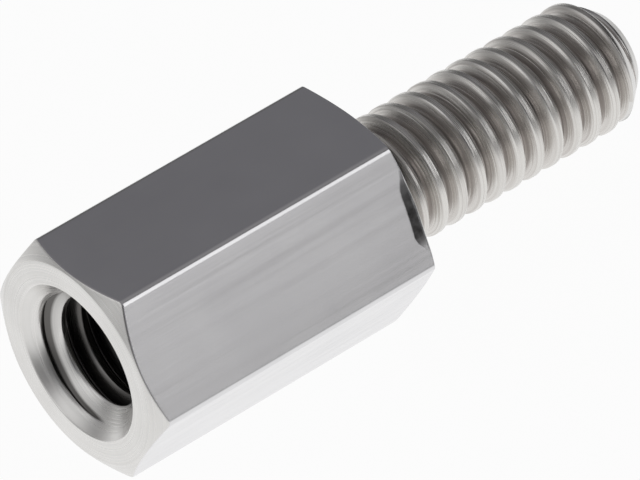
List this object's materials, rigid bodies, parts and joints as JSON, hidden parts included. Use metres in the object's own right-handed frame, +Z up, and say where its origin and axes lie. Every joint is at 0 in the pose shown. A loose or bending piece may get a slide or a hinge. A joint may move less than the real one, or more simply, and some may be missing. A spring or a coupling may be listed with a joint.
{
  "type": "hexagonal standoff",
  "caption": "Hexagonal male-female standoff with chamfered ends, a countersunk threaded hole and a threaded stud, for holding a board clear of a panel.",
  "frame": {"origin": "on the thread axis, in the plane of the shoulder that the stud stands on", "axes": "+X along the thread axis from the shoulder to the stud's tip, +Z up, with the part lying on one flat of the hexagon"},
  "size_m": [0.0123, 0.0046, 0.004],
  "materials": {
    "nickel_plate": "bright nickel plate over brass"
  },
  "bodies": {
    "root": {"standoff": "nickel_plate"}
  },
  "joints": []
}
